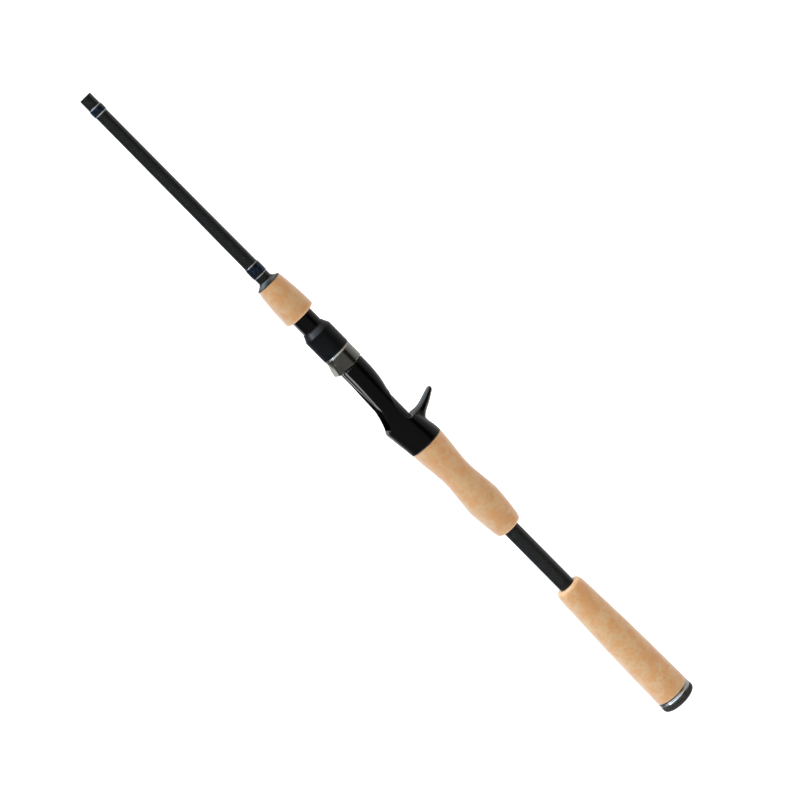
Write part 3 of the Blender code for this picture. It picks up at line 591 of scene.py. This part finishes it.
def trigger_tool(points=28):
    """Curved finger hook: a stack of ellipses that thins towards its rounded tip."""
    sections = []
    last = TRIGGER_SECTIONS[-1][0]
    for depth in spread(TRIGGER_SECTIONS[0][0], last, 0.7):
        share, thickness, width = (smooth(TRIGGER_SECTIONS, depth, c) for c in (1, 2, 3))
        ring = []
        z = AXIS_Z - BORE_R - depth * MM
        for k in range(points):
            angle = TURN * k / points
            x = body_x(share) + thickness / 2 * MM * math.cos(angle)
            ring.append((x, width / 2 * MM * math.sin(angle), z))
        sections.append(ring)
    return skinned("trigger_tool", sections)


def bed_groove_tool(points=24):
    """Shallow groove down the middle of the foot bed, which runs out towards the fixed hood."""
    sections = []
    for share, width, depth in ((-0.05, 2.3, 0.65), (0.2, 2.0, 0.5), (0.42, 0.9, 0.08)):
        sections.append([(body_x(share), width * MM * math.cos(TURN * k / points),
                          depth * MM * math.sin(TURN * k / points)) for k in range(points)])
    return skinned("bed_groove_tool", sections)


def make_seat():
    """Moulded seat behind the barrel: foot bed between rails, fixed hood, window and trigger, blended into
    each other with the small fillets of a moulding, and a larger one where the trigger leaves the body."""
    shares = [0.0] + spread(0.012, 1.0, 0.012)
    sections = [seat_section(share, 0.8 * MM if share == 0 else 0.0) for share in shares]
    seat = skinned("reel_seat_moulding", sections)
    under = AXIS_Z - 16 * MM
    floor = [(body_x(WINDOW_RIM[-1][0]), under), (body_x(WINDOW_RIM[0][0]), under)]
    rim = [(body_x(share), AXIS_Z + smooth(WINDOW_RIM, share) * BORE_R)
           for share in spread(WINDOW_RIM[0][0], WINDOW_RIM[-1][0], 0.012)]
    cut_or_join(seat, side_cutter("window_tool", rim + floor, 20 * MM), "DIFFERENCE")
    cut_or_join(seat, trigger_tool(), "UNION")
    past = 5 * MM
    bore_ends = (SHOULDER_X + past, SHOULDER_X - BODY_LENGTH - past)
    bore = turned("bore_tool", [(bore_ends[0], 0), (bore_ends[0], BORE_R), (bore_ends[1], BORE_R),
                                (bore_ends[1], 0)], 64)
    cut_or_join(seat, bore, "DIFFERENCE")
    mouth_x = body_x(0.672)
    roof = 6.1 * MM
    channel = [(SHOULDER_X + past, 0.0), (mouth_x + 1.2 * MM, 0.0), (mouth_x + 0.6 * MM, roof),
               (mouth_x - 1.0 * MM, 20 * MM), (SHOULDER_X + past, 20 * MM)]
    cut_or_join(seat, side_cutter("foot_channel_tool", channel, BED_HALF), "DIFFERENCE")
    pocket_depth = 9.3 * MM
    pocket = [(mouth_x + past, 0.0), (mouth_x - pocket_depth, 0.0), (mouth_x - pocket_depth, 5.5 * MM),
              (mouth_x + past, roof)]
    cut_or_join(seat, side_cutter("foot_pocket_tool", pocket, BED_HALF), "DIFFERENCE")
    cut_or_join(seat, bed_groove_tool(), "DIFFERENCE")
    apply_modifier(seat, "REMESH", mode="VOXEL", voxel_size=0.36 * MM, use_smooth_shade=True)
    apply_modifier(seat, "SMOOTH", factor=0.5, iterations=7)
    root = seat.vertex_groups.new(name="trigger_root")
    for vert in seat.data.vertices:
        depth = (AXIS_Z - vert.co.z) / MM
        away = abs(vert.co.x - body_x(0.775)) / MM
        above = max((depth - 7.0) / 2.0, 0.0)
        below = max((19.0 - depth) / 6.0, 0.0)
        beside = max((12.0 - away) / 4.0, 0.0)
        share = min(above, 1.0, below, beside)
        if share > 0:
            root.add([vert.index], share, "REPLACE")
    apply_modifier(seat, "SMOOTH", factor=0.5, iterations=160, vertex_group="trigger_root")
    bpy.ops.object.shade_smooth()
    return seat


def make_barrel():
    """Barrel: plain at its front, with a helical thread behind, and a narrow flat on the reel's side."""
    front = ends("reel_seat_body")[0]
    rear = SHOULDER_X - 1.5 * MM
    radius = 7.65 * MM
    pitch = 1.5 * MM
    thread_depth = 0.38 * MM
    flat_height = 0.45 * MM
    chamfer = 0.35 * MM
    outline = [(front, BORE_R), (front, radius - chamfer)]
    outline += [(x, radius) for x in spread(front - chamfer, rear, 0.19 * MM)]
    outline += [(rear, BORE_R)]
    barrel = turned("reel_seat_barrel", outline, 96)
    collar = 10.4 * MM
    for vert in barrel.data.vertices:
        y, z = vert.co.y, vert.co.z - AXIS_Z
        reach = math.hypot(y, z)
        if reach < radius - 0.1 * MM:
            continue
        run_in = min(max((front - collar - vert.co.x) / pitch, 0.0), 1.0)
        phase = vert.co.x / pitch + math.atan2(y, z) / TURN
        wave = abs((phase % 1.0) - 0.5) * 2
        groove = min(max((wave - 0.45) / 0.4, 0.0), 1.0) * thread_depth * run_in
        scale = (reach - groove) / reach
        vert.co.y = y * scale
        vert.co.z = min(AXIS_Z + z * scale, flat_height)
    return barrel


HOOD_FRONT, HOOD_REAR = ends("movable_hood")
HOOD_R = AXIS_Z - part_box("movable_hood")[0].z
HOOD_HALF_WIDTH = 8.2 * MM
HOOD_WALL = 0.7 * MM
TOWER_FRONT = BED_HEIGHT + 2.6 * MM
TOWER_REAR = BED_HEIGHT + 4.5 * MM
TOWER_ROUND = 2.8 * MM
SWELL_LENGTH = 6.8 * MM
BEAD_LENGTH = 1.0 * MM
HOOD_POINTS = 120


def tower_section(x, inset):
    """Round below, with a square tower for the reel foot above. Points are spread evenly along it."""
    radius, half_width = HOOD_R - inset, HOOD_HALF_WIDTH - inset
    top = TOWER_FRONT + (TOWER_REAR - TOWER_FRONT) * (HOOD_FRONT - x) / (HOOD_FRONT - HOOD_REAR) - inset
    corner = TOWER_ROUND - 0.9 * inset
    join = math.acos(half_width / radius)
    line = []
    for k in range(49):
        angle = math.pi - join + (math.pi + 2 * join) * k / 48
        line.append((radius * math.cos(angle), radius * math.sin(angle)))
    for side, start in ((1, 0.0), (-1, math.pi / 2)):
        for k in range(9):
            angle = start + math.pi / 2 * k / 8
            line.append((side * (half_width - corner) + corner * math.cos(angle),
                         top - corner + corner * math.sin(angle)))
    line.append(line[0])
    lengths = [0.0]
    for (y0, z0), (y1, z1) in zip(line, line[1:]):
        lengths.append(lengths[-1] + math.hypot(y1 - y0, z1 - z0))
    section = []
    j = 0
    for k in range(HOOD_POINTS):
        target = lengths[-1] * k / HOOD_POINTS
        while lengths[j + 1] < target:
            j += 1
        share = (target - lengths[j]) / (lengths[j + 1] - lengths[j])
        y = line[j][0] + (line[j + 1][0] - line[j][0]) * share
        z = line[j][1] + (line[j + 1][1] - line[j][1]) * share
        section.append((x, y, AXIS_Z + z))
    return section


def hood_section(x, inset):
    """Section of the hood: its front bead is round, and the tower swells out of it towards the rear."""
    tower = tower_section(x, inset)
    share = min(max((HOOD_FRONT - BEAD_LENGTH - x) / SWELL_LENGTH, 0.0), 1.0)
    swell = share * share * (3 - 2 * share)
    section = []
    for _, y, z in tower:
        angle = math.atan2(z - AXIS_Z, y)
        ring_y, ring_z = (HOOD_R - inset) * math.cos(angle), AXIS_Z + (HOOD_R - inset) * math.sin(angle)
        section.append((x, ring_y + (y - ring_y) * swell, ring_z + (z - ring_z) * swell))
    return section


def make_hood():
    """Drawn steel hood: a thin shell with a rolled round bead at the nut's end and a crisp rear rim."""
    bead = [(0.0, 0.5), (0.05, 0.3), (0.16, 0.14), (0.32, 0.03), (0.5, 0.0), (0.68, 0.03), (0.84, 0.14),
            (0.95, 0.3), (1.0, 0.4), (1.1, 0.4), (1.2, 0.28), (1.35, 0.2)]
    front, rear, wall = HOOD_FRONT, HOOD_REAR, HOOD_WALL
    skin = 0.2 * MM
    edge = 0.08 * MM
    profile = [(front - along * MM, inset * MM) for along, inset in bead]
    profile += [(x, skin) for x in spread(front - 1.7 * MM, rear + 0.3 * MM, 0.45 * MM)]
    profile += [(rear + edge, skin), (rear, skin + edge), (rear, wall - edge), (rear + edge, wall)]
    profile += [(x, wall) for x in spread(rear + 0.6 * MM, front - 0.1 * MM, 0.6 * MM)]
    hood = skinned("movable_hood_shell", [hood_section(x, inset) for x, inset in profile], ring_shaped=True)
    for face in hood.data.polygons:
        if face.center.x > front - 0.98 * BEAD_LENGTH:
            face.material_index = 1
    return hood


def make_liner():
    """Moulded liner under the hood: a collar that reaches into the nut, the bore that runs on the barrel,
    and the pocket that takes the reel's foot."""
    gap = 0.06 * MM
    inset = HOOD_WALL + gap
    places = spread(HOOD_FRONT - gap, HOOD_REAR + gap, 0.6 * MM)
    liner = skinned("hood_liner_moulded", [hood_section(x, inset) for x in places])
    past = 1.0 * MM
    collar_front = ends("hood_liner")[0]
    collar_r = 8.5 * MM
    collar = turned("collar_tool", [(collar_front, 0), (collar_front, 8.3 * MM),
                                    (collar_front - 0.2 * MM, collar_r), (HOOD_FRONT - past, collar_r),
                                    (HOOD_FRONT - past, 0)], 96)
    cut_or_join(liner, collar, "UNION")
    bore_r = 7.83 * MM
    bore = turned("liner_bore_tool", [(collar_front + past, 0), (collar_front + past, bore_r),
                                      (HOOD_REAR - past, bore_r), (HOOD_REAR - past, 0)], 96)
    cut_or_join(liner, bore, "DIFFERENCE")
    pocket_front, pocket_rear = HOOD_REAR + 9.0 * MM, HOOD_REAR - past
    roof = 1.2 * MM
    low_end = TOWER_FRONT + (TOWER_REAR - TOWER_FRONT) * 0.26 - roof
    high_end = TOWER_REAR + 0.16 * MM - roof
    floor = 0.3 * MM
    pocket = [(pocket_rear, floor), (pocket_front, floor), (pocket_front, AXIS_Z + low_end),
              (pocket_rear, AXIS_Z + high_end)]
    cut_or_join(liner, side_cutter("liner_pocket_tool", pocket, BED_HALF), "DIFFERENCE")
    deselect()
    liner.select_set(True)
    bpy.context.view_layer.objects.active = liner
    bpy.ops.object.shade_smooth_by_angle(angle=math.radians(35))
    return liner


def make_nut():
    """Locking nut: rounded nose, cone, long satin barrel with two fine lines, and a recess for the hood."""
    node = outer_outline("locking_nut")
    front, rear = ends("locking_nut")
    bore = inner_radius("locking_nut")
    recess = 9.35 * MM
    radius = max(r for _, r in node)
    nose = node[0][1]
    nose_round = 0.2 * MM
    outline = [(front - nose_round, bore), (front, bore + 0.15 * MM), (front, nose - nose_round)]
    outline += arc(front - nose_round, nose - nose_round, nose_round, 20, 80, 3)
    outline += [(front - 0.9 * MM, nose + 0.12 * MM), (front - 1.0 * MM, nose + 0.2 * MM)]
    outline += [(front - 4.1 * MM, radius - 0.3 * MM), (front - 4.5 * MM, radius - 0.1 * MM),
                (front - 5.1 * MM, radius)]
    groove = 0.18 * MM
    for line in (front - 6.6 * MM, rear + 2.4 * MM):
        outline += [(line + groove, radius), (line + groove * 0.4, radius - groove),
                    (line - groove * 0.4, radius - groove), (line - groove, radius)]
    rim = 0.4 * MM
    recess_end = rear + 3.2 * MM
    outline += [(rear + 1.0 * MM, radius)] + arc(rear + rim, radius - rim, rim, 80, 170, 5)
    outline += [(rear, recess), (recess_end, recess), (recess_end, bore)]
    return turned("locking_nut_body", outline, 128)


# ---------------------------------------------------------------- butt end

def make_ring():
    """Turned trim ring: two flat lands with a raised bright bead between them."""
    front, rear = ends("butt_trim_ring")
    radius = max(r for _, r in outer_outline("butt_trim_ring"))
    bore = blank_radius(rear) + 0.1 * MM
    front += 0.25 * MM
    rear -= 0.25 * MM
    land = radius - 0.1 * MM
    middle = (front + rear) / 2
    bead = 0.62 * MM
    foot = land - 0.3 * MM
    outline = [(front, bore), (front, foot), (front - 0.12 * MM, foot + 0.12 * MM),
               (middle + bead + 0.2 * MM, land), (middle + bead + 0.06 * MM, land - 0.1 * MM),
               (middle + bead + 0.04 * MM, foot)]
    bead_height = 0.46 * MM
    outline += [(middle + bead * math.cos(a), foot + bead_height * math.sin(a))
                for a in spread(0, math.pi, 0.22)]
    outline += [(middle - bead - 0.04 * MM, foot), (middle - bead - 0.06 * MM, land - 0.1 * MM),
                (middle - bead - 0.2 * MM, land)]
    outline += [(rear + 0.1 * MM, land), (rear, land - 0.1 * MM), (rear, bore)]
    return turned("butt_trim_ring_turned", outline, 128)


def make_cap():
    """Moulded rubber cap: straight wall, well rounded rim and a slightly hollow end."""
    front, rear = ends("butt_cap")
    radius = max(r for _, r in outer_outline("butt_cap"))
    wall_r = radius - 0.05 * MM
    rim = 2.0 * MM
    outline = [(front, 0), (front, radius - 0.25 * MM), (front - 0.25 * MM, wall_r)]
    outline += [(x, wall_r) for x in spread(front - 0.6 * MM, rear + rim, 0.8 * MM)]
    outline += arc(rear + rim, wall_r - rim, rim, 95, 180, 10)
    dish = 0.25 * MM
    flat = radius - rim - 0.3 * MM
    outline += [(rear + dish * (1 - (r / flat) ** 2), r) for r in spread(flat, 0, 1.2 * MM)]
    return turned("butt_cap_moulded", outline, 96)


# ---------------------------------------------------------------- studio

CAMERA_ROLL = math.radians(14)  # the camera looks from the near side, turned towards the reel's side
TIP_NEARER = math.radians(10.8)
CAMERA_DISTANCE = 1.5548
LENS = 107.6
SIDE_DROP = 7.35 * MM
AIM_X = -17.5 * MM
AXIS_IN_VIEW = (0.70223, 0.71195)


def studio_directions():
    """Unit vectors: towards the camera, and across the rod towards the reel's side as seen from there."""
    facing = Vector((0, -math.cos(CAMERA_ROLL), math.sin(CAMERA_ROLL)))
    across = Vector((0, math.sin(CAMERA_ROLL), math.cos(CAMERA_ROLL)))
    towards = facing * math.cos(TIP_NEARER) + Vector((1, 0, 0)) * math.sin(TIP_NEARER)
    return facing, across, towards


def make_camera():
    _, across, towards = studio_directions()
    along = towards.cross(across)
    if along.x > 0:
        along = -along
    right = along * AXIS_IN_VIEW[0] - across * AXIS_IN_VIEW[1]
    down = along * AXIS_IN_VIEW[1] + across * AXIS_IN_VIEW[0]
    aim = Vector((AIM_X, 0, AXIS_Z)) - across * SIDE_DROP
    data = bpy.data.cameras.new("camera")
    data.lens = LENS
    data.sensor_width = 36
    data.clip_start = 0.01
    data.clip_end = 200
    camera = bpy.data.objects.new("camera", data)
    bpy.context.scene.collection.objects.link(camera)
    matrix = camera.matrix_world.copy()
    up = -down
    for row in range(3):
        matrix[row][0], matrix[row][1], matrix[row][2] = right[row], up[row], towards[row]
        matrix[row][3] = (aim + towards * CAMERA_DISTANCE)[row]
    camera.matrix_world = matrix
    bpy.context.scene.camera = camera


def make_floor():
    """White paper sweep under the object, bright enough to be plain white. It only shows to the camera."""
    low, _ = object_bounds()
    deselect()
    bpy.ops.mesh.primitive_plane_add(size=120, location=(0, 0, low[2] - 1 * MM))
    floor = bpy.context.object
    floor.name = "floor"
    floor.visible_diffuse = False
    floor.visible_glossy = False
    floor.visible_shadow = False
    material, tree, _ = new_material("white_paper")
    white = colour("#ffffff")
    surface(tree, Base_Color=colour("#c8c8c8"), Roughness=1.0, Emission_Color=white, Emission_Strength=0.95)
    floor.data.materials.append(material)


# Light around the rod's axis: (degrees from the camera's side, negative towards the reel's, brightness)
DOME = [(-180, 0.5), (-159, 0.8), (-153, 1.0), (-147, 0.6), (-137, 0.2), (-106, 0.11), (-81, 0.09),
        (-54, 0.15), (-40, 0.145), (29, 0.135), (35, 0.012), (58, 0.012), (70, 0.2), (95, 0.33), (130, 0.6),
        (180, 0.5)]
# Soft sources off the rod's two ends: cool towards the reel's side, warmer and weaker towards the trigger's
TIP_LIGHT_REEL_SIDE = (3.1, 3.85, 4.6, 1.0)
TIP_LIGHT_TRIGGER_SIDE = (1.3, 1.05, 0.7, 1.0)
BUTT_LIGHT_REEL_SIDE = (2.8, 3.1, 3.4, 1.0)
BUTT_LIGHT_TRIGGER_SIDE = (1.9, 1.6, 1.15, 1.0)
END_LIGHT_FROM, END_LIGHT_FULL = 0.58, 0.74  # how far a direction leans along the rod
KEY_LIGHT = 9.0
KEY_FROM = (0.62, 0.72, 0.3)  # towards the tip, towards the reel's side, towards the camera


def make_lights():
    """Soft studio dome: dim behind the camera, brighter above and behind, with two large soft sources off
    the rod's two ends, which light the cork but don't show in the gloss of the straight sides, and a small
    key light beyond the tip that puts the glints on edges and wraps. The camera itself sees plain white."""
    facing, across, _ = studio_directions()
    world = bpy.data.worlds.new("studio")
    bpy.context.scene.world = world
    world.use_nodes = True
    tree = world.node_tree
    tree.nodes.clear()
    ray = add(tree, "ShaderNodeTexCoord").outputs["Generated"]
    to_camera = add(tree, "ShaderNodeVectorMath", {0: ray, 1: facing}, operation="DOT_PRODUCT")
    to_trigger = add(tree, "ShaderNodeVectorMath", {0: ray, 1: -across}, operation="DOT_PRODUCT")
    around = add(tree, "ShaderNodeMath", {0: to_trigger.outputs["Value"], 1: to_camera.outputs["Value"]},
                 operation="ARCTAN2")
    share = add(tree, "ShaderNodeMapRange", {"Value": around.outputs[0], "From Min": -math.pi,
                                             "From Max": math.pi})
    dome = add(tree, "ShaderNodeValToRGB", {"Fac": share.outputs[0]})
    stops = dome.color_ramp.elements
    while len(stops) < len(DOME):
        stops.new(0.5)
    for stop, (angle, brightness) in zip(stops, DOME):
        stop.position = (angle + 180) / 360
        stop.color = (brightness, brightness, brightness, 1)
    parts = add(tree, "ShaderNodeSeparateXYZ", {"Vector": ray})
    endwise = add(tree, "ShaderNodeMath", {0: parts.outputs["X"]}, operation="ABSOLUTE")
    side = add(tree, "ShaderNodeMapRange", {"Value": endwise.outputs[0], "From Min": END_LIGHT_FROM,
                                            "From Max": END_LIGHT_FULL}, interpolation_type="SMOOTHSTEP")
    lean = add(tree, "ShaderNodeMapRange", {"Value": to_trigger.outputs["Value"], "From Min": -0.7,
                                            "From Max": 0.7})
    tip_light = add(tree, "ShaderNodeMix", {"Factor": lean.outputs[0], 6: TIP_LIGHT_REEL_SIDE,
                                            7: TIP_LIGHT_TRIGGER_SIDE}, data_type="RGBA")
    butt_light = add(tree, "ShaderNodeMix", {"Factor": lean.outputs[0], 6: BUTT_LIGHT_REEL_SIDE,
                                             7: BUTT_LIGHT_TRIGGER_SIDE}, data_type="RGBA")
    tipwards = add(tree, "ShaderNodeMath", {0: parts.outputs["X"], 1: 0.0}, operation="GREATER_THAN")
    end_light = add(tree, "ShaderNodeMix", {"Factor": tipwards.outputs[0], 6: butt_light.outputs[2],
                                            7: tip_light.outputs[2]}, data_type="RGBA")
    soft = add(tree, "ShaderNodeMix", {"Factor": side.outputs[0], 6: dome.outputs[0],
                                       7: end_light.outputs[2]}, data_type="RGBA")
    key_place = (Vector((1, 0, 0)) * KEY_FROM[0] + across * KEY_FROM[1] + facing * KEY_FROM[2]).normalized()
    to_key = add(tree, "ShaderNodeVectorMath", {0: ray, 1: key_place}, operation="DOT_PRODUCT")
    key = add(tree, "ShaderNodeMapRange", {"Value": to_key.outputs["Value"], "From Min": 0.988,
                                           "From Max": 0.994, "To Max": KEY_LIGHT})
    light = add(tree, "ShaderNodeMix", {"Factor": 1.0, 6: soft.outputs[2], 7: key.outputs[0]},
                data_type="RGBA", blend_type="ADD")
    seen = add(tree, "ShaderNodeLightPath").outputs["Is Camera Ray"]
    backdrop = add(tree, "ShaderNodeMix", {"Factor": seen, 6: light.outputs[2], 7: colour("#ffffff")},
                   data_type="RGBA")
    glow = add(tree, "ShaderNodeBackground", {"Color": backdrop.outputs[2], "Strength": 1.0})
    add(tree, "ShaderNodeOutputWorld", {"Surface": glow.outputs[0]})
    bpy.context.scene.view_settings.view_transform = "Standard"


# ---------------------------------------------------------------- assembly

def build():
    cork = sanded_cork()
    carbon = wound_carbon()
    # the bright colour of each thread is its painted glint colour
    navy = thread_under_epoxy("navy_thread_under_epoxy", "#010205", "#124a82", 0.0)
    silver = thread_under_epoxy("silver_thread_under_epoxy", "#a2a4a8", "#e6e8ea", 0.85)
    check_metal = turned_metal("grey_anodised_aluminium", "#3f4041", "#545557", 0.36, 0.25 * MM)
    ring_metal = turned_metal("bright_turned_aluminium", "#c6c7c8", "#e4e5e6", 0.14, 0.3 * MM)
    bead_metal = turned_metal("bright_polished_steel", "#b8b8b4", "#c6c6c2", 0.2, 3.0 * MM)
    gunmetal = polished_gunmetal()
    seat_black = moulded_nylon("gloss_black_nylon", "#030304", "#060607", 0.12, 0.5 * MM, 0.01 * MM)
    nut_black = moulded_nylon("satin_blue_black_nylon", "#06070a", "#090b10", 0.34, 0.35 * MM, 0.02 * MM,
                              0.4)
    rubber = speckled_rubber()
    liner_black = moulded_nylon("matt_black_nylon", "#101012", "#161618", 0.4, 0.4 * MM, 0.03 * MM)
    cushion = moulded_nylon("black_cushion_rubber", "#0c0c0d", "#141415", 0.7, 0.3 * MM, 0.05 * MM)
    arbor_foam = moulded_nylon("grey_rigid_foam", "#7c7c78", "#8e8e8a", 0.85, 0.3 * MM, 0.2 * MM)
    spring_steel = turned_metal("bright_spring_steel", "#a2a3a5", "#c0c1c3", 0.25, 0.2 * MM)

    fit(make_blank(), "handle", "carbon_blank", carbon, *BLANK_NODES)
    for wrap in ("ferrule_wrap", "grip_wrap"):
        make_wrap(wrap, navy, silver)
    fit(make_check(), "handle", "check_metal", check_metal, "winding_check")
    make_cork_grip("foregrip", 2, 0.1, cork)
    make_cork_grip("rear_grip", 6, 0.3, cork)
    make_cork_grip("butt_grip", 8, 0.75, cork)
    fit(make_seat(), "handle", "seat_plastic", seat_black, "reel_seat_body")
    fit(make_barrel(), "handle", "seat_plastic", seat_black, "reel_seat_body")
    hood = make_hood()
    fit(hood, "hood", "hood_metal", gunmetal, "movable_hood")
    hood.data.materials.append(bead_metal)
    fit(make_liner(), "hood", "liner_plastic", liner_black, "hood_liner")
    fit(make_nut(), "nut", "nut_plastic", nut_black, "locking_nut")
    fit(make_ring(), "handle", "ring_metal", ring_metal, "butt_trim_ring")
    fit(make_cap(), "handle", "rubber", rubber, "butt_cap")

    kept = {"seat_arbor": arbor_foam, "blank_end_plug": arbor_foam, "nut_snap_ring": spring_steel,
            "fixed_hood_pad": cushion}
    for node, material in kept.items():
        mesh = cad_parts[node].data
        mesh.materials.clear()
        mesh.materials.append(material)

    make_camera()
    make_floor()
    make_lights()


build()
